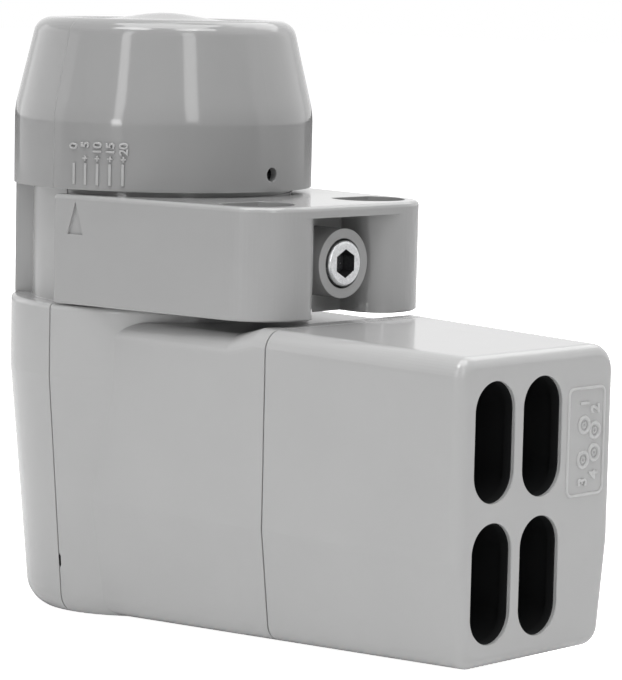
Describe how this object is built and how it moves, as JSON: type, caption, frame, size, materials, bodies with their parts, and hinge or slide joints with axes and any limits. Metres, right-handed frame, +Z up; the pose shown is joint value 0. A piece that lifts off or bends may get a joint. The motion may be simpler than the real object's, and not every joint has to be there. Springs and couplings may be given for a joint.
{
  "type": "satellite dish feed head with skew clamp",
  "caption": "Feed head of a satellite dish: domed cap, round neck with a turning skew clamp, and a box with a sliding port cover.",
  "frame": {"origin": "where the feed axis meets the sloping underside", "axes": "+Z up the feed axis, +X towards the ports, so +Y points away from the picture's viewer"},
  "size_m": [0.1354, 0.0628, 0.1241],
  "materials": {
    "housing_plastic": "fine satin grey ASA plastic",
    "cap_plastic": "smooth satin grey polypropylene",
    "clamp_plastic": "satin grey glass-filled plastic",
    "black_plastic": "matte black plastic",
    "black_rubber": "matte",
    "die_cast": "as-cast",
    "zinc_steel": "bright zinc",
    "tin_plate": "tinned sheet",
    "gold_plate": "gold plated",
    "board": "solder resist",
    "ceramic": "unglazed ceramic",
    "ptfe": "smooth"
  },
  "bodies": {
    "housing": {"main_housing": "housing_plastic", "rear_shell": "housing_plastic", "stop_collar": "housing_plastic", "housing_gasket": "black_rubber", "cap_ring": "black_plastic", "cap_seal": "black_rubber", "feed_cap": "cap_plastic", "feed_horn": "die_cast", "horn_gasket": "black_rubber", "chassis_block": "die_cast", "septum_plate": "tin_plate", "probe_pins": "gold_plate", "main_board": "board", "resonator_pucks": "ceramic", "shield_cans": "tin_plate", "chassis_lid": "die_cast", "lid_screws": "zinc_steel", "f_port_shells": "zinc_steel", "f_port_insulators": "ptfe", "f_port_contacts": "gold_plate", "port_seals": "black_rubber", "port_nuts": "zinc_steel"},
    "cover": {"weather_cover": "housing_plastic", "cable_liner": "black_plastic"},
    "clamp": {"clamp_bracket": "clamp_plastic", "screw_washer": "zinc_steel", "clamp_slider": "zinc_steel"},
    "screw": {"clamp_screw": "zinc_steel"}
  },
  "joints": [
    {"name": "skew_turn", "type": "hinge", "parent": "housing", "child": "clamp", "pos_m": [0, 0, 0.0749], "axis": [0, 0, 1], "range_deg": [0, 20]},
    {"name": "screw_turn", "type": "hinge", "parent": "clamp", "child": "screw", "pos_m": [0.05, 0, 0.0749], "axis": [1, 0, 0], "range_deg": [0, 720]},
    {"name": "cover_slide", "type": "slide", "parent": "housing", "child": "cover", "axis": [1, 0, 0], "range_m": [0, 0.022]}
  ]
}
